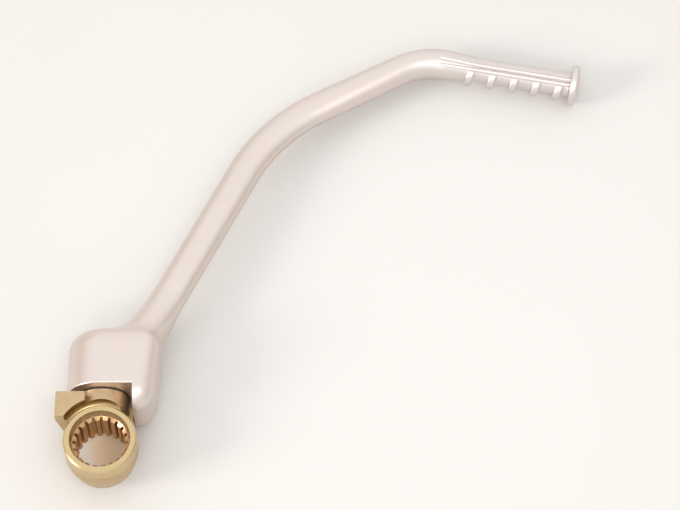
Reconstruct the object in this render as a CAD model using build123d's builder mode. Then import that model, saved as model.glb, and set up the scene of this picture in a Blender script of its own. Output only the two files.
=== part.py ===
from build123d import *
import os

# Folding kick start lever: a forged arm that hinges on a splined knuckle. All sizes are in millimetres.
# The origin is on the spline's axis at mid length. +Z runs along the spline, away from the engine.
# +Y runs along the hinge, from the hub to the arm's boss. +X points to the foot peg when folded in.

# Splined hub
hub_radius = 13.25
hub_length = 17.5
hub_top_chamfer = 0.6
hub_foot_radius = 11.7
hub_taper_length = 7.0
spline_teeth = 20
spline_tip_radius = 8.9
spline_root_radius = 10.0
spline_gap_at_tip = 1.42
spline_gap_at_root = 0.95
bore_mouth_radius = 11.0
bore_mouth_floor = 10.2
bore_mouth_depth = 2.9
tooth_end_slope = 0.9
bore_foot_radius = 9.2

# Turned cove that parts the top of the hub from the flange
groove_radius = 15.3
groove_floor = 6.5
groove_round = 2.0

# Flange, fold-out tab and fold-in stop, all measured from the hinge axis
flange_radius = 9.4
flange_root = 10.5
flange_face = 19.4
stop_reach = 11.0
stop_gap = 0.2
tab_left = 16.4
tab_right = 5.7
tab_front = 7.8
tab_back = 17.6
tab_shoulder = 7.7
tab_waist_left = 13.5
tab_waist = -5.2
block_foot = -7.2
block_foot_left = 12.0
stop_head = -3.0
block_edge = 0.5

# Hinge pin and its fit in the arm
pin_radius = 7.0
pin_clearance = 0.05
pin_length = 17.4
pin_end_chamfer = 0.5
nose_radius = 4.5
nose_clearance = 0.1
end_play = 0.1
flange_gap = 0.5

# Detent in the pin
ball_radius = 2.5
ball_hole_clearance = 0.1
ball_along_pin = 9.6
ball_below_pin = 0.05
detent_depth = 0.75
detent_groove_radius = 2.7
detent_groove_past_ball = 3.5
spring_floor = -5.0
spring_wire_radius = 0.35
spring_turns = 6
spring_clearance = 0.15
spring_to_ball = 0.02

# Dust seal
seal_section_radius = 0.98
seal_clearance = 0.06
seal_pocket_clearance = 0.25

# Screw and washer that keep the arm on the pin
screw_radius = 2.95
screw_clearance = 0.05
screw_length = 7.5
screw_hole_spare = 1.0
screw_head_radius = 5.0
screw_head_height = 4.0
screw_head_edge = 0.5
screw_socket_flats = 4.0
screw_socket_depth = 2.2
washer_radius = 6.2
washer_thickness = 1.0
washer_hole_clearance = 0.25
spot_face_clearance = 0.6
end_wall = 3.1

# Boss and ear of the arm
boss_radius = 13.5
boss_right_near = 18.4
boss_right_far = 20.9
boss_far = 44.5
boss_far_round = 7.5
boss_side_round = 6.8
boss_mouth_edge = 0.6
ear_end = 12.3
ear_round = 7.5

# Shaft of the arm, in a plane that leans down towards the peg
arm_root_x = 9.8
arm_root_y = 36.0
arm_lean = 1.87
lower_length = 110.2
lower_angle = 63.6
lower_half_width = 6.3
lower_half_height = 5.0
first_bend_radius = 72.0
upper_length = 67.7
upper_angle = 29.2
upper_radius = 5.8
second_bend_radius = 27.0
root_fillet = 18.0
neck_start = -4.0
neck_end = 30.0
neck_half_width = 8.5
neck_half_height = 11.5

# Foot peg
peg_length = 61.4
peg_angle = -9.8
peg_radius = 4.75
peg_taper_length = 13.0
tread_teeth = 5
tread_pitch = 8.7
tread_end_gap = 3.9
tread_radius = 5.2
tread_width = 3.3
tread_round = 1.2
tread_offset = 1.65
tread_facing = 35.0
tread_slant = 14.0
flute_radius = 1.0
flute_depth = 0.75
flute_angles = (-79.0, -56.0)
flute_start = -2.5
flute_start_depth = 0.1
end_flange_radius = 7.9
end_flange_thickness = 2.8
end_flange_dome = 1.0
end_flange_round = 1.1
end_flange_root = 1.2
same_radius = 0.01


def across_hinge(y):
    """Plane square to the hinge at y, whose sketches extrude towards the hub."""
    return Plane.XZ.offset(-y)


# Places along the hinge
boss_near = flange_face + flange_gap
bore_radius = pin_radius + pin_clearance
pin_end = flange_face + pin_length
bore_floor = pin_end + end_play
spot_face = bore_floor + end_wall
nose_end = spot_face + end_play
washer_out = nose_end + washer_thickness
ball_y = flange_face + ball_along_pin
ear_wall = stop_reach + stop_gap
seal_pocket_radius = pin_radius + seal_clearance + 2 * seal_section_radius + seal_pocket_clearance
seal_pocket_floor = flange_face + 2 * seal_section_radius + seal_pocket_clearance

# Knuckle: hub, flange, tab, stop and hinge pin in one piece of steel
with BuildPart() as knuckle:
    with BuildSketch(across_hinge(tab_back)):
        with BuildLine():
            Polyline(
                (-tab_left, stop_reach),
                (-tab_left, tab_shoulder),
                (-tab_waist_left, tab_waist),
                (-block_foot_left, block_foot),
                (stop_reach, block_foot),
                (stop_reach, stop_head),
                (0, stop_head),
                (-tab_right, 0),
                (-tab_right, stop_reach),
                close=True,
            )
        make_face()
    extrude(amount=tab_back - tab_front)
    fillet(knuckle.edges().filter_by(Axis.Y), block_edge)
    with BuildSketch(across_hinge(flange_face)):
        Circle(flange_radius)
    extrude(amount=flange_face - flange_root)
    with BuildSketch(Plane.XZ):
        with BuildLine():
            groove_side = FilletPolyline(
                (0, groove_floor),
                (groove_radius, groove_floor),
                (groove_radius, 2 * groove_radius),
                radius=groove_round,
            )
            Polyline(groove_side @ 1, (0, 2 * groove_radius), groove_side @ 0)
        make_face()
    revolve(axis=Axis.Z, mode=Mode.SUBTRACT)
    with BuildSketch(Plane.XZ):
        with BuildLine():
            Polyline(
                (0, -hub_length / 2),
                (hub_foot_radius, -hub_length / 2),
                (hub_radius, -hub_length / 2 + hub_taper_length),
                (hub_radius, hub_length / 2 - hub_top_chamfer),
                (hub_radius - hub_top_chamfer, hub_length / 2),
                (0, hub_length / 2),
                close=True,
            )
        make_face()
    revolve(axis=Axis.Z)
    foot_depth = bore_foot_radius - spline_tip_radius
    with BuildSketch(Plane.XZ):
        with BuildLine():
            Polyline(
                (0, -hub_length / 2),
                (bore_foot_radius, -hub_length / 2),
                (spline_tip_radius, -hub_length / 2 + foot_depth),
                (spline_tip_radius, hub_length / 2 - bore_mouth_depth - tooth_end_slope),
                (bore_mouth_floor, hub_length / 2 - bore_mouth_depth),
                (bore_mouth_radius, hub_length / 2),
                (0, hub_length / 2),
                close=True,
            )
        make_face()
    revolve(axis=Axis.Z, mode=Mode.SUBTRACT)
    with BuildSketch(Plane.XY.offset(-hub_length / 2)):
        with PolarLocations(0, spline_teeth):
            Polygon(
                (0, -spline_gap_at_tip / 2),
                (spline_tip_radius, -spline_gap_at_tip / 2),
                (spline_root_radius, -spline_gap_at_root / 2),
                (spline_root_radius, spline_gap_at_root / 2),
                (spline_tip_radius, spline_gap_at_tip / 2),
                (0, spline_gap_at_tip / 2),
                align=None,
            )
    extrude(amount=hub_length, mode=Mode.SUBTRACT)
    with BuildSketch(across_hinge(flange_face)):
        Circle(pin_radius)
    extrude(amount=-pin_length)
    chamfer(knuckle.faces().sort_by(Axis.Y)[-1].edges(), pin_end_chamfer)
    with BuildSketch(across_hinge(pin_end)):
        Circle(nose_radius)
    extrude(amount=pin_end - nose_end)
    with BuildSketch(across_hinge(nose_end)):
        Circle(screw_radius + screw_clearance)
    extrude(amount=screw_length + screw_hole_spare, mode=Mode.SUBTRACT)
    with BuildSketch(Plane.XY.offset(spring_floor)):
        with Locations((0, ball_y)):
            Circle(ball_radius + ball_hole_clearance)
    extrude(amount=pin_radius - spring_floor, mode=Mode.SUBTRACT)

# Line of the arm, from inside the boss to the end of the peg
arm_plane = Plane((arm_root_x, arm_root_y, 0)).rotated((0, arm_lean, 0))
first_bend = Vector(lower_length, 0).rotate(Axis.Z, lower_angle)
second_bend = first_bend + Vector(upper_length, 0).rotate(Axis.Z, upper_angle)
peg_tip = second_bend + Vector(peg_length, 0).rotate(Axis.Z, peg_angle)
arm_corners = [arm_plane.from_local_coords(corner) for corner in (Vector(), first_bend, second_bend, peg_tip)]
with BuildLine() as arm_line:
    FilletPolyline(*arm_corners, radius=[first_bend_radius, second_bend_radius])
lower_run, first_arc, upper_run, second_arc, peg_run = arm_line.edges().sort_by(arm_line.wire())
peg_frame = Plane(peg_run @ 0, x_dir=peg_run % 0, z_dir=arm_plane.z_dir)


def across_peg(along):
    """Plane square to the peg, with its X to the front and its Y down."""
    return Plane(peg_frame.from_local_coords((along, 0, 0)), x_dir=-peg_frame.y_dir, z_dir=peg_frame.x_dir)


def across_arm(run, share):
    """Plane square to a run of the arm, with its X across the arm and its Y up."""
    return Plane(run @ share, x_dir=(run % share).cross(arm_plane.z_dir), z_dir=run % share)


# Side of the boss, which leans in towards the ear
side_plane = Plane(
    (boss_right_near, ear_end, 0),
    x_dir=(boss_right_far - boss_right_near, boss_far - ear_end, 0),
    z_dir=(boss_far - ear_end, boss_right_near - boss_right_far, 0),
)

# Lower run of the shaft, which swells towards the boss
with BuildPart() as lower_shaft:
    for step in range(5):
        share = step / 4
        swell = (1 - share) ** 2 * (1 + 2 * share)
        along = neck_start + (neck_end - neck_start) * share
        with BuildSketch(across_arm(lower_run, 0).offset(along)):
            Ellipse(
                lower_half_width + (neck_half_width - lower_half_width) * swell,
                lower_half_height + (neck_half_height - lower_half_height) * swell,
            )
    loft()
    with BuildSketch(across_arm(lower_run, 0).offset(neck_end)):
        Ellipse(lower_half_width, lower_half_height)
    extrude(amount=lower_run.length - neck_end)

# One tooth of the tread: a disc with rounded rims, standing off the peg's centre
with BuildPart() as tread_tooth:
    with Locations(Location((tread_offset, 0, 0), (0, tread_slant, 0))):
        Cylinder(tread_radius, tread_width)
    fillet(tread_tooth.edges().filter_by(GeomType.CIRCLE), tread_round)
last_tooth = peg_run.length - end_flange_thickness - tread_end_gap
tooth_places = [last_tooth - tread_pitch * count for count in range(tread_teeth)]

# One flute: a round cut that sinks gently into the peg's skin and runs up to the end flange
flute_away = peg_radius + flute_radius - flute_depth
with BuildPart() as flute_cutter:
    with BuildLine() as flute_line:
        Polyline(
            (upper_radius + flute_radius - flute_start_depth, 0, flute_start),
            (flute_away, 0, peg_taper_length),
            (flute_away, 0, peg_run.length - end_flange_thickness),
        )
    with BuildSketch(Plane(flute_line.line @ 0, z_dir=flute_line.line % 0)):
        Circle(flute_radius)
    sweep(path=flute_line.line, transition=Transition.ROUND)

# Arm: boss, ear, shaft and foot peg in one forging
with BuildPart() as kick_arm:
    # Right of the hinge the boss is a block with rounded edges, and left of it a round end
    with BuildSketch(Plane.YZ):
        with BuildLine():
            FilletPolyline(
                (ear_end, boss_radius),
                (boss_far, boss_radius),
                (boss_far, -boss_radius),
                (ear_end, -boss_radius),
                radius=[ear_round, boss_far_round, boss_far_round, ear_round],
                close=True,
            )
        make_face()
    extrude(amount=2 * boss_right_far)
    split(bisect_by=side_plane, keep=Keep.BOTTOM)
    right_side = kick_arm.faces().sort_by(Axis.X)[-1]
    fillet(right_side.edges(), boss_side_round)
    with BuildSketch(Plane.YZ):
        with BuildLine():
            boss_half = FilletPolyline(
                (boss_near, boss_radius),
                (boss_far, boss_radius),
                (boss_far, 0),
                radius=boss_far_round,
            )
            Polyline(boss_half @ 1, (boss_near, 0), boss_half @ 0)
        make_face()
    revolve(axis=Axis.Y)
    # The boss's near face is set back, which leaves the ear
    with BuildSketch(across_hinge(boss_near)):
        with Locations((ear_wall, 0)):
            Rectangle(2 * boss_right_far, 3 * boss_radius, align=(Align.MAX, Align.CENTER))
    extrude(amount=boss_near, mode=Mode.SUBTRACT)
    mouth = kick_arm.faces().filter_by(Axis.Y).sort_by(Axis.Y)[1]
    fillet(mouth.edges().sort_by(Axis.X)[:-1], boss_mouth_edge)
    # Shaft, with a wide fillet where it leaves the boss
    add(lower_shaft.part)
    fillet(kick_arm.edges(Select.NEW), root_fillet)
    with BuildSketch(across_arm(first_arc, 0)):
        Ellipse(lower_half_width, lower_half_height)
    sweep(path=first_arc)
    with BuildSketch(across_arm(upper_run, 0)):
        Ellipse(lower_half_width, lower_half_height)
    with BuildSketch(Plane(upper_run @ 1, z_dir=upper_run % 1)):
        Circle(upper_radius)
    loft()
    with BuildSketch(Plane(second_arc @ 0, z_dir=second_arc % 0)):
        Circle(upper_radius)
    sweep(path=second_arc)
    # Foot peg: a taper down to a round bar, the end flange, the teeth and the flutes
    with BuildSketch(across_peg(0)):
        Circle(upper_radius)
    with BuildSketch(across_peg(peg_taper_length)):
        Circle(peg_radius)
    loft()
    with BuildSketch(across_peg(peg_taper_length)):
        Circle(peg_radius)
    extrude(amount=peg_run.length - peg_taper_length)
    with BuildSketch(peg_frame):
        with BuildLine():
            TangentArc((peg_run.length + end_flange_dome, 0), (peg_run.length, end_flange_radius), tangent=(0, 1))
            Polyline(
                (peg_run.length, end_flange_radius),
                (peg_run.length - end_flange_thickness, end_flange_radius),
                (peg_run.length - end_flange_thickness, 0),
                (peg_run.length + end_flange_dome, 0),
            )
        make_face()
    revolve(axis=Axis(peg_run @ 0, peg_run % 0))
    fillet(kick_arm.edges(Select.NEW), end_flange_root)
    rims = kick_arm.edges().filter_by(GeomType.CIRCLE)
    fillet(rims.filter_by(lambda rim: abs(rim.radius - end_flange_radius) < same_radius), end_flange_round)
    with Locations(*[across_peg(along).location * Rotation(0, 0, tread_facing) for along in tooth_places]):
        add(tread_tooth.part)
    with Locations(*[across_peg(0).location * Rotation(0, 0, angle) for angle in flute_angles]):
        add(flute_cutter.part, mode=Mode.SUBTRACT)
    # Bore for the pin, detent grooves, seal pocket and the seat of the washer
    with BuildSketch(across_hinge(boss_near)):
        Circle(bore_radius)
        with PolarLocations(bore_radius + detent_depth - detent_groove_radius, 2, 0, 90, endpoint=True):
            Circle(detent_groove_radius)
    extrude(amount=boss_near - ball_y - detent_groove_past_ball, mode=Mode.SUBTRACT)
    with BuildSketch(across_hinge(boss_near)):
        Circle(bore_radius)
    extrude(amount=boss_near - bore_floor, mode=Mode.SUBTRACT)
    with BuildSketch(across_hinge(boss_near)):
        Circle(seal_pocket_radius)
    extrude(amount=boss_near - seal_pocket_floor, mode=Mode.SUBTRACT)
    with BuildSketch(across_hinge(bore_floor)):
        Circle(nose_radius + nose_clearance)
    extrude(amount=bore_floor - spot_face, mode=Mode.SUBTRACT)
    with BuildSketch(across_hinge(spot_face)):
        Circle(washer_radius + spot_face_clearance)
    extrude(amount=spot_face - boss_far - root_fillet, mode=Mode.SUBTRACT)

# Dust seal in the pocket around the pin
with BuildPart() as dust_seal:
    with BuildSketch(Plane.XY):
        with Locations((pin_radius + seal_clearance + seal_section_radius, flange_face + seal_section_radius)):
            Circle(seal_section_radius)
    revolve(axis=Axis.Y)

# Detent ball, pressed back flush with the pin, and the coil spring under it
ball_z = pin_radius - ball_below_pin - ball_radius
with BuildPart() as detent_ball:
    with Locations((0, ball_y, ball_z)):
        Sphere(ball_radius)

spring_radius = ball_radius + ball_hole_clearance - spring_clearance - spring_wire_radius
ball_to_wire = ball_radius + spring_wire_radius + spring_to_ball
spring_foot = spring_floor + spring_wire_radius
spring_head = ball_z - (ball_to_wire**2 - spring_radius**2) ** 0.5
with BuildPart() as detent_spring:
    with BuildLine(Plane((0, ball_y, spring_foot))) as coil:
        Helix((spring_head - spring_foot) / spring_turns, spring_head - spring_foot, spring_radius)
    with BuildSketch(Plane(coil.edge() @ 0, z_dir=coil.edge() % 0)):
        Circle(spring_wire_radius)
    sweep(path=coil.edge(), is_frenet=True)

# Washer and low headed socket screw on the end of the pin
with BuildPart() as pivot_washer:
    with BuildSketch(across_hinge(nose_end)):
        Circle(washer_radius)
        Circle(screw_radius + washer_hole_clearance, mode=Mode.SUBTRACT)
    extrude(amount=-washer_thickness)

with BuildPart() as pivot_screw:
    with BuildSketch(across_hinge(washer_out)):
        Circle(screw_head_radius)
    extrude(amount=-screw_head_height)
    chamfer(pivot_screw.edges().group_by(Axis.Y)[-1], screw_head_edge)
    with BuildSketch(across_hinge(washer_out)):
        Circle(screw_radius)
    extrude(amount=screw_length + washer_thickness)
    with BuildSketch(across_hinge(washer_out + screw_head_height)):
        RegularPolygon(screw_socket_flats / 2, 6, major_radius=False)
    extrude(amount=screw_socket_depth, mode=Mode.SUBTRACT)

os.makedirs("parts", exist_ok=True)
pieces = {
    "kick_arm": kick_arm,
    "knuckle": knuckle,
    "dust_seal": dust_seal,
    "detent_ball": detent_ball,
    "detent_spring": detent_spring,
    "pivot_washer": pivot_washer,
    "pivot_screw": pivot_screw,
}
for name, piece in pieces.items():
    piece.part.label = name
    export_step(piece.part, f"parts/{name}.step")
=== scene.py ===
import math

import bpy
import numpy as np
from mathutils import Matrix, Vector

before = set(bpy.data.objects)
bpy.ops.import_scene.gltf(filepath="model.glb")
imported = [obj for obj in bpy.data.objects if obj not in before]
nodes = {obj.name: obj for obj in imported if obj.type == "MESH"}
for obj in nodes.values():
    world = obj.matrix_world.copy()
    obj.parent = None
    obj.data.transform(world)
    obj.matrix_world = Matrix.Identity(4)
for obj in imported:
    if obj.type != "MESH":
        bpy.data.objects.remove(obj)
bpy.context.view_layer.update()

scene = bpy.context.scene

# Camera over the lever: place in metres, tilt from straight down, lens and sensor in millimetres
camera_place = (0.08584, -0.38528, 0.8555)
camera_tilt = math.radians(28.5)
camera_lens = 137.647
sensor_width = 36.0

# Table that the boss lies on, in metres
table_height = -0.0135
table_middle = (0.1, 0.05)
table_rings = (0.4, 1.0, 2.5, 6.0)
table_sides = 64

# Tints of the table, with a painted pool of light round the lever and a small warm painted glow under the
# bore, standing in for gold light thrown down through it
table_grey = (0.643, 0.626, 0.606, 1)
table_cloud = (0.651, 0.634, 0.614, 1)
table_painted_light_pool = (0.668, 0.656, 0.638, 1)
table_painted_glow = (0.80, 0.64, 0.47, 1)
painted_light_pool_middle = (0.11, 0.07)
painted_light_pool_rim = (0.05, 0.2)
painted_glow_middle = (0.002, 0.006)
painted_glow_rim = (0.004, 0.012)

# Tints of the forged arm, and the stretch of X over which it turns greyer and duller towards the peg
alloy_warm = (0.735, 0.645, 0.598, 1)
alloy_cloud = (0.725, 0.652, 0.615, 1)
alloy_mottle = (0.70, 0.62, 0.58, 1)
alloy_handled = (0.705, 0.648, 0.628, 1)
alloy_rubbed = (0.58, 0.52, 0.49, 1)
alloy_edge = (0.84, 0.79, 0.76, 1)
handled_start = (0.09, 0.14)

# Tints of the plated knuckle
gold_pale = (0.585, 0.437, 0.265, 1)
gold_deep = (0.56, 0.415, 0.25, 1)
gold_dull = (0.50, 0.36, 0.20, 1)
gold_hub = (0.62, 0.478, 0.258, 1)
# Painted shade: darker gold for the recessed cove round the hub
gold_cove_painted_shade = (0.53, 0.405, 0.235, 1)
# Painted highlight: pale bright gold for the wall of the bore's mouth
gold_mouth_painted_highlight = (0.90, 0.72, 0.42, 1)
# Painted shade: darker coppery gold for the teeth inside the bore
gold_teeth_painted_shade = (0.52, 0.315, 0.155, 1)
gold_edge = (0.80, 0.68, 0.47, 1)

# Where those tints meet: distances from the spline's axis, and the height where the hub's bright half starts
cove_rim = (0.0152, 0.0156)
hub_rim = (0.0132, 0.0135)
mouth_rim = (0.0109, 0.01105)
tooth_roots = (0.0101, 0.0103)
hub_bright_start = (0.002, 0.0045)

# Tints of the seal, and of worn edges on the steel pieces
rubber_black = (0.018, 0.017, 0.016, 1)
rubber_dust = (0.07, 0.062, 0.055, 1)
steel_edge = (0.8, 0.78, 0.74, 1)

# Steel pieces: material name, tint, tint of the patches, roughness from and to, scale of the patches
steel_finishes = {
    "detent_ball": ("ball_steel_polished", (0.72, 0.72, 0.73, 1), (0.64, 0.64, 0.66, 1), 0.07, 0.14, 250.0),
    "detent_spring": ("spring_wire_drawn", (0.46, 0.45, 0.45, 1), (0.34, 0.33, 0.33, 1), 0.25, 0.4, 300.0),
    "pivot_washer": ("washer_clear_zinc", (0.68, 0.69, 0.71, 1), (0.58, 0.58, 0.56, 1), 0.25, 0.4, 200.0),
    "pivot_screw": ("screw_black_oxide", (0.05, 0.05, 0.052, 1), (0.09, 0.08, 0.07, 1), 0.35, 0.5, 300.0),
}

# Levels between which grain and lathe lines are spread over a finish's roughness
grain_levels = (0.3, 0.7)

# Room light by direction: left, right, behind the lever, in front of it and overhead
room_left = (0.76, 0.635, 0.55, 1)
room_right = (0.69, 0.645, 0.59, 1)
room_behind = (1.08, 1.06, 1.04, 1)
room_front = (0.96, 0.93, 0.91, 1)
room_overhead = (1.16, 1.15, 1.14, 1)

# Where those meet, as X, Y, X, Y and Z of the direction
left_to_right = (-0.7, 0.7)
behind_start = (0.2, 0.8)
behind_left_end = (-0.95, -0.1)
front_start = (-0.3, -0.85)
overhead_start = (0.1, 0.75)


# Shader building: sockets, groups and nodes

def new_group(name, inputs, outputs):
    """A shader node group with named sockets. Inputs are (name, type, default), outputs (name, type)."""
    tree = bpy.data.node_groups.new(name, "ShaderNodeTree")
    for label, kind, default in inputs:
        socket = tree.interface.new_socket(label, in_out="INPUT", socket_type="NodeSocket" + kind)
        if default is not None:
            socket.default_value = default
    for label, kind in outputs:
        tree.interface.new_socket(label, in_out="OUTPUT", socket_type="NodeSocket" + kind)
    return tree, tree.nodes.new("NodeGroupInput").outputs, tree.nodes.new("NodeGroupOutput").inputs


def put(tree, kind, settings=None, **inputs):
    """One node of a tree. Settings are its own properties.

    Inputs are sockets to link or plain values, by the socket's name or by its number as i0, i1 and so on.
    """
    node = tree.nodes.new(kind)
    for key, value in (settings or {}).items():
        setattr(node, key, value)
    for key, value in inputs.items():
        numbered = key[0] == "i" and key[1:].isdigit()
        socket = node.inputs[int(key[1:]) if numbered else key.replace("_", " ")]
        if isinstance(value, bpy.types.NodeSocket):
            tree.links.new(value, socket)
        else:
            socket.default_value = value
    return node


def math_node(tree, operation, a, b=0.0, c=0.0):
    """Value of one arithmetic step."""
    return put(tree, "ShaderNodeMath", {"operation": operation}, i0=a, i1=b, i2=c).outputs[0]


def ramp_between(tree, value, low, high, to_low=0.0, to_high=1.0):
    """Value carried smoothly from the span low..high to the span to_low..to_high."""
    smooth = {"interpolation_type": "SMOOTHSTEP"}
    node = put(tree, "ShaderNodeMapRange", smooth, i0=value, i1=low, i2=high, i3=to_low, i4=to_high)
    return node.outputs[0]


def inside(tree, distance, rim):
    """Mask that is 1 up to a rim, falls smoothly over the rim's two distances and is 0 beyond them."""
    return ramp_between(tree, distance, *rim, to_low=1.0, to_high=0.0)


def mix_colour(tree, amount, a, b):
    """Colour a going to colour b by amount."""
    return put(tree, "ShaderNodeMix", {"data_type": "RGBA"}, i0=amount, i6=a, i7=b).outputs[2]


def axis_parts(tree, place):
    """X, Y and Z of a place or a direction."""
    return put(tree, "ShaderNodeSeparateXYZ", Vector=place).outputs


def plan_distance(tree, place, middle=(0.0, 0.0)):
    """Distance from an upright line through middle: the root of x squared plus y squared, both from there."""
    parts = axis_parts(tree, place)
    level = put(tree, "ShaderNodeCombineXYZ", X=parts["X"], Y=parts["Y"]).outputs[0]
    centre = (*middle, 0.0)
    gap = put(tree, "ShaderNodeVectorMath", {"operation": "DISTANCE"}, i0=level, i1=centre)
    return gap.outputs["Value"]


def noise_value(tree, **inputs):
    """Value of one noise texture."""
    return put(tree, "ShaderNodeTexNoise", **inputs).outputs["Fac"]


# Effects, as node groups

def make_fine_grain():
    """Fine even grain: two noise layers, the second 2.7 times as fine, added 0.65 to 0.35."""
    tree, given, result = new_group(
        "fine_grain",
        [("Vector", "Vector", None), ("Scale", "Float", 900.0)],
        [("Value", "Float")])
    coarse = noise_value(tree, Vector=given["Vector"], Scale=given["Scale"], Detail=2.0)
    finer = math_node(tree, "MULTIPLY", given["Scale"], 2.7)
    fine = noise_value(tree, Vector=given["Vector"], Scale=finer, Detail=1.0)
    fine_share = math_node(tree, "MULTIPLY", fine, 0.35)
    tree.links.new(math_node(tree, "MULTIPLY_ADD", coarse, 0.65, fine_share), result["Value"])
    return tree


def make_soft_patches():
    """Cloudy patches: a warped noise pushed to a mask between two levels."""
    tree, given, result = new_group(
        "soft_patches",
        [("Vector", "Vector", None), ("Scale", "Float", 60.0), ("From", "Float", 0.4), ("To", "Float", 0.65)],
        [("Mask", "Float")])
    noise = noise_value(tree, Vector=given["Vector"], Scale=given["Scale"], Detail=3.0, Distortion=0.6)
    tree.links.new(ramp_between(tree, noise, given["From"], given["To"]), result["Mask"])
    return tree


def make_edge_wear():
    """Worn edges: where a rounded normal leaves the flat one, broken up by noise.

    The bend is 1 less the dot product of the two normals, and 0.01 to 0.12 of it goes from no edge to edge.
    """
    tree, given, result = new_group(
        "edge_wear",
        [("Vector", "Vector", None), ("Radius", "Float", 0.0006),
         ("Break Scale", "Float", 400.0), ("Amount", "Float", 1.0)],
        [("Mask", "Float")])
    rounded = put(tree, "ShaderNodeBevel", {"samples": 4}, Radius=given["Radius"]).outputs[0]
    flat = put(tree, "ShaderNodeNewGeometry").outputs["Normal"]
    dot = put(tree, "ShaderNodeVectorMath", {"operation": "DOT_PRODUCT"}, i0=rounded, i1=flat)
    bend = math_node(tree, "SUBTRACT", 1.0, dot.outputs["Value"])
    edge = ramp_between(tree, bend, 0.01, 0.12)
    noise = noise_value(tree, Vector=given["Vector"], Scale=given["Break Scale"], Detail=3.0)
    kept = ramp_between(tree, noise, 0.35, 0.6)
    worn = math_node(tree, "MULTIPLY", edge, kept)
    tree.links.new(math_node(tree, "MULTIPLY", worn, given["Amount"]), result["Mask"])
    return tree


def make_rub_marks():
    """Short rub marks: noise stretched along one axis and cut so only its peaks are left, kept to patches.

    The marks are what lies over 0.62 to 0.74 of the stretched noise, the patches over 0.56 to 0.7 of another.
    """
    tree, given, result = new_group(
        "rub_marks",
        [("Vector", "Vector", None), ("Scale", "Float", 700.0),
         ("Patch Scale", "Float", 50.0), ("Amount", "Float", 1.0)],
        [("Mask", "Float")])
    long_way = put(
        tree, "ShaderNodeMapping",
        Vector=given["Vector"], Rotation=(0.3, 0.2, 0.9), Scale=(1.0, 0.3, 1.0)).outputs[0]
    noise = noise_value(tree, Vector=long_way, Scale=given["Scale"], Detail=2.0)
    mark = ramp_between(tree, noise, 0.62, 0.74)
    patch = noise_value(tree, Vector=given["Vector"], Scale=given["Patch Scale"], Detail=2.0)
    kept = ramp_between(tree, patch, 0.56, 0.7)
    rubbed = math_node(tree, "MULTIPLY", mark, kept)
    tree.links.new(math_node(tree, "MULTIPLY", rubbed, given["Amount"]), result["Mask"])
    return tree


def make_turned_lines():
    """Lathe lines: one-way noise read along radius plus 0.8 of the height, so that lines ring the Z axis."""
    tree, given, result = new_group(
        "turned_lines",
        [("Vector", "Vector", None), ("Lines Per Metre", "Float", 4000.0)],
        [("Value", "Float")])
    radius = plan_distance(tree, given["Vector"])
    height = axis_parts(tree, given["Vector"])["Z"]
    along = math_node(tree, "MULTIPLY_ADD", height, 0.8, radius)
    step = math_node(tree, "MULTIPLY", along, given["Lines Per Metre"])
    one_way = {"noise_dimensions": "1D"}
    tree.links.new(noise_value(tree, settings=one_way, W=step, Scale=1.0, Detail=2.0), result["Value"])
    return tree


fine_grain = make_fine_grain()
soft_patches = make_soft_patches()
edge_wear = make_edge_wear()
rub_marks = make_rub_marks()
turned_lines = make_turned_lines()


def effect(tree, group, **inputs):
    """One placed copy of an effect group, with its own values. Gives its one output."""
    return put(tree, "ShaderNodeGroup", {"node_tree": group}, **inputs).outputs[0]


# Finishes

def new_material(name, **plain):
    """A material, its Principled shader and its object coordinates. Plain values go on the shader itself."""
    material = bpy.data.materials.new(name)
    material.use_nodes = True
    tree = material.node_tree
    shader = tree.nodes["Principled BSDF"]
    for key, value in plain.items():
        shader.inputs[key.replace("_", " ")].default_value = value
    place = tree.nodes.new("ShaderNodeTexCoord").outputs["Object"]
    return material, tree, shader, place


def finish_surface(tree, shader, colour, roughness, height, depth):
    """Joins colour, roughness and a bump of that depth in metres to the shader."""
    tree.links.new(colour, shader.inputs["Base Color"])
    tree.links.new(roughness, shader.inputs["Roughness"])
    bump = put(tree, "ShaderNodeBump", Strength=1.0, Distance=depth, Height=height)
    tree.links.new(bump.outputs[0], shader.inputs["Normal"])


def make_satin_alloy():
    """Tumbled forged alloy: pale pinkish satin with clouds, mottle, fine grain, worn edges and rub marks.

    Towards the peg it is a little greyer and duller.
    """
    material, tree, shader, place = new_material("forged_alloy_satin", Metallic=1.0)
    cloud = effect(tree, soft_patches, Vector=place, Scale=55.0, From=0.35, To=0.7)
    mottle = effect(tree, soft_patches, Vector=place, Scale=260.0, From=0.3, To=0.75)
    grain = effect(tree, fine_grain, Vector=place, Scale=2600.0)
    edge = effect(tree, edge_wear, Vector=place, Radius=0.0004, Break_Scale=350.0, Amount=0.5)
    rub = effect(tree, rub_marks, Vector=place, Scale=700.0, Patch_Scale=38.0, Amount=0.2)
    handled = ramp_between(tree, axis_parts(tree, place)["X"], *handled_start)
    colour = mix_colour(tree, cloud, alloy_warm, alloy_cloud)
    colour = mix_colour(tree, math_node(tree, "MULTIPLY", mottle, 0.3), colour, alloy_mottle)
    colour = mix_colour(tree, handled, colour, alloy_handled)
    colour = mix_colour(tree, rub, colour, alloy_rubbed)
    colour = mix_colour(tree, edge, colour, alloy_edge)
    rough = ramp_between(tree, grain, *grain_levels, to_low=0.33, to_high=0.39)
    rough = math_node(tree, "MULTIPLY_ADD", handled, 0.07, rough)
    rough = math_node(tree, "MULTIPLY_ADD", cloud, 0.03, rough)
    rough = math_node(tree, "MULTIPLY_ADD", rub, 0.1, rough)
    height = math_node(tree, "MULTIPLY_ADD", mottle, 0.5, grain)
    finish_surface(tree, shader, colour, rough, height, depth=0.000004)
    return material


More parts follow.
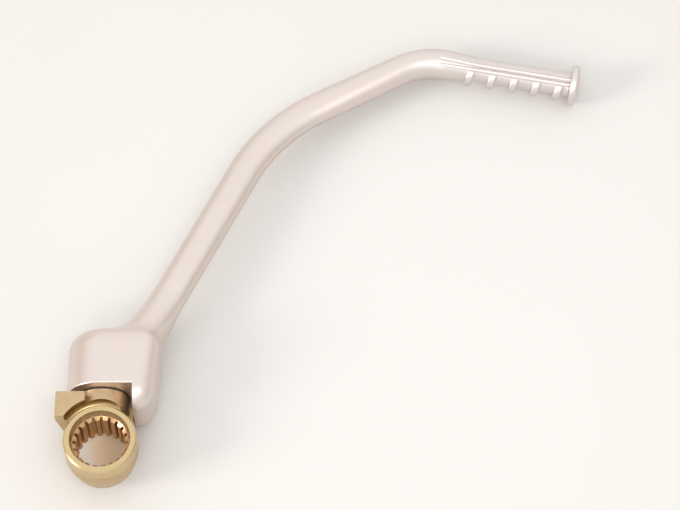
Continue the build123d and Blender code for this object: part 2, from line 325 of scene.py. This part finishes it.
def make_gold_zinc():
    """Yellow zinc on steel: two golds that drift, duller patches, lathe lines and worn edges.

    The hub's upper half is yellower and smoother, with painted shade making the cove round it darker. The
    wall of the bore's mouth is paler with a painted highlight, and its teeth are darker and coppery with
    painted shade from inside the bore.
    """
    material, tree, shader, place = new_material("gold_zinc_plate", Metallic=1.0)
    drift = effect(tree, soft_patches, Vector=place, Scale=95.0, From=0.3, To=0.7)
    dull = effect(tree, soft_patches, Vector=place, Scale=230.0, From=0.45, To=0.75)
    grain = effect(tree, fine_grain, Vector=place, Scale=3000.0)
    lines = effect(tree, turned_lines, Vector=place, Lines_Per_Metre=5200.0)
    edge = effect(tree, edge_wear, Vector=place, Radius=0.00035, Break_Scale=500.0, Amount=0.6)
    away = plan_distance(tree, place)
    high = ramp_between(tree, axis_parts(tree, place)["Z"], *hub_bright_start)
    hub = math_node(tree, "MULTIPLY", inside(tree, away, cove_rim), high)
    # Painted shade: the cove between the hub's rim and the cove's rim is darkened
    painted_cove_shade = math_node(tree, "MULTIPLY", hub, ramp_between(tree, away, *hub_rim))
    # Painted shade on the teeth inside the bore, within the tooth roots
    teeth_painted_shade = inside(tree, away, tooth_roots)
    # Painted highlight on the wall of the bore's mouth, between the tooth roots and the mouth's rim
    painted_mouth_highlight = math_node(tree, "SUBTRACT", inside(tree, away, mouth_rim), teeth_painted_shade)
    colour = mix_colour(tree, drift, gold_pale, gold_deep)
    colour = mix_colour(tree, math_node(tree, "MULTIPLY", dull, 0.4), colour, gold_dull)
    colour = mix_colour(tree, hub, colour, gold_hub)
    colour = mix_colour(tree, painted_cove_shade, colour, gold_cove_painted_shade)
    colour = mix_colour(tree, painted_mouth_highlight, colour, gold_mouth_painted_highlight)
    colour = mix_colour(tree, teeth_painted_shade, colour, gold_teeth_painted_shade)
    colour = mix_colour(tree, edge, colour, gold_edge)
    rough = ramp_between(tree, lines, *grain_levels, to_low=0.37, to_high=0.47)
    rough = math_node(tree, "MULTIPLY_ADD", dull, 0.08, rough)
    rough = math_node(tree, "MULTIPLY_ADD", hub, -0.13, rough)
    height = math_node(tree, "MULTIPLY_ADD", lines, 0.8, math_node(tree, "MULTIPLY", grain, 0.4))
    finish_surface(tree, shader, colour, rough, height, depth=0.000006)
    return material


def make_seal_rubber():
    """Moulded black rubber: dull with a fine pebble, greyed by dust in patches."""
    material, tree, shader, place = new_material("seal_rubber_black")
    dust = effect(tree, soft_patches, Vector=place, Scale=300.0, From=0.45, To=0.7)
    grain = effect(tree, fine_grain, Vector=place, Scale=4000.0)
    colour = mix_colour(tree, math_node(tree, "MULTIPLY", dust, 0.4), rubber_black, rubber_dust)
    rough = ramp_between(tree, grain, *grain_levels, to_low=0.5, to_high=0.7)
    finish_surface(tree, shader, colour, rough, grain, depth=0.00002)
    return material


def make_drawn_steel(name, tint, patch_tint, rough_from, rough_to, patch_scale):
    """Bare or plated steel: two tints in patches, fine grain, bright worn edges."""
    material, tree, shader, place = new_material(name, Metallic=1.0)
    cloud = effect(tree, soft_patches, Vector=place, Scale=patch_scale, From=0.35, To=0.7)
    grain = effect(tree, fine_grain, Vector=place, Scale=3500.0)
    edge = effect(tree, edge_wear, Vector=place, Radius=0.0002, Break_Scale=700.0, Amount=0.6)
    colour = mix_colour(tree, cloud, tint, patch_tint)
    colour = mix_colour(tree, edge, colour, steel_edge)
    rough = ramp_between(tree, grain, *grain_levels, to_low=rough_from, to_high=rough_to)
    finish_surface(tree, shader, colour, rough, grain, depth=0.000006)
    return material


finishes = {
    "kick_arm": make_satin_alloy(),
    "knuckle": make_gold_zinc(),
    "dust_seal": make_seal_rubber(),
}
for node, steel in steel_finishes.items():
    finishes[node] = make_drawn_steel(*steel)
for node, material in finishes.items():
    mesh = nodes[node].data
    mesh.materials.clear()
    mesh.materials.append(material)


# Table, room and lights

def make_table_finish():
    """Matt pale table: faint clouds, a painted pool of light round the lever, a small warm painted glow of
    reflected gold light under the bore.
    """
    material, tree, shader, place = new_material("table_pale", Roughness=0.7, Specular_IOR_Level=0.25)
    cloud = effect(tree, soft_patches, Vector=place, Scale=6.0, From=0.3, To=0.7)
    # Painted pool of light: the table is paler in a wide round patch about the lever
    painted_light_pool = inside(tree, plan_distance(tree, place, painted_light_pool_middle), painted_light_pool_rim)
    # Painted glow: a small warm patch under the bore stands in for gold light reflected down from it
    painted_glow = inside(tree, plan_distance(tree, place, painted_glow_middle), painted_glow_rim)
    colour = mix_colour(tree, cloud, table_grey, table_cloud)
    colour = mix_colour(tree, painted_light_pool, colour, table_painted_light_pool)
    colour = mix_colour(tree, painted_glow, colour, table_painted_glow)
    tree.links.new(colour, shader.inputs["Base Color"])
    return material


def make_table():
    """Round table top: a flat disc, where radius r and turn a give middle x + r cos a, middle y + r sin a."""
    x, y = table_middle
    turn = np.linspace(0.0, 2.0 * math.pi, table_sides, endpoint=False)
    r, a = np.meshgrid(table_rings, turn, indexing="ij")
    rings = np.stack([x + r * np.cos(a), y + r * np.sin(a), np.full_like(r, table_height)], -1)
    points = np.vstack([[[x, y, table_height]], rings.reshape(-1, 3)])
    i = np.arange(table_sides)
    j = (i + 1) % table_sides
    fan = np.stack([np.zeros(table_sides, int), 1 + i, 1 + j], -1)
    inner = np.arange(len(table_rings) - 1)[:, None] * table_sides + 1
    outer = inner + table_sides
    quads = np.stack([inner + i, outer + i, outer + j, inner + j], -1).reshape(-1, 4)
    mesh = bpy.data.meshes.new("table_top")
    mesh.from_pydata(points.tolist(), [], fan.tolist() + quads.tolist())
    mesh.materials.append(make_table_finish())
    table = bpy.data.objects.new("table_top", mesh)
    scene.collection.objects.link(table)


def make_room():
    """Soft room: a world colour by direction, near white overhead.

    Towards the horizon it is warm on the left and greyer on the right, and paler behind the lever, except at
    the far left, and in front of it.
    """
    world = bpy.data.worlds.new("soft_room")
    scene.world = world
    world.use_nodes = True
    tree = world.node_tree
    way = axis_parts(tree, put(tree, "ShaderNodeTexCoord").outputs["Generated"])
    colour = mix_colour(tree, ramp_between(tree, way["X"], *left_to_right), room_left, room_right)
    behind = ramp_between(tree, way["Y"], *behind_start)
    behind = math_node(tree, "MULTIPLY", behind, ramp_between(tree, way["X"], *behind_left_end))
    colour = mix_colour(tree, behind, colour, room_behind)
    colour = mix_colour(tree, ramp_between(tree, way["Y"], *front_start), colour, room_front)
    colour = mix_colour(tree, ramp_between(tree, way["Z"], *overhead_start), colour, room_overhead)
    background = tree.nodes["Background"]
    tree.links.new(colour, background.inputs["Color"])
    background.inputs["Strength"].default_value = 1.0


def add_soft_light(name, place, target, width, height, watts, colour):
    """One soft box at a place, turned to face a target and hidden from the camera."""
    light = bpy.data.lights.new(name, "AREA")
    light.shape = "RECTANGLE"
    light.size = width
    light.size_y = height
    light.energy = watts
    light.color = colour
    box = bpy.data.objects.new(name, light)
    box.location = place
    way = np.array(target) - np.array(place)
    box.rotation_euler = Vector(way).to_track_quat("-Z", "Y").to_euler()
    box.visible_camera = False
    scene.collection.objects.link(box)


make_table()
make_room()
add_soft_light(
    "window_front_left", place=(-2.5, -0.9, 1.25), target=(0.08, 0.05, 0),
    width=0.95, height=0.95, watts=44.0, colour=(1.0, 0.97, 0.93))
add_soft_light(
    "panel_front", place=(0.34, -0.55, 1.35), target=(0.15, 0.1, 0),
    width=0.6, height=0.12, watts=3.0, colour=(1.0, 0.98, 0.96))
add_soft_light(
    "panel_low", place=(-0.25, -1.15, 1.2), target=(0.02, 0.02, 0),
    width=0.4, height=0.25, watts=2.2, colour=(1.0, 0.98, 0.97))

scene.view_settings.view_transform = "Standard"
scene.view_settings.look = "None"

lens = bpy.data.cameras.new("photo_camera")
lens.sensor_width = sensor_width
lens.lens = camera_lens
camera = bpy.data.objects.new("photo_camera", lens)
camera.location = camera_place
camera.rotation_euler = (camera_tilt, 0.0, 0.0)
scene.collection.objects.link(camera)
scene.camera = camera
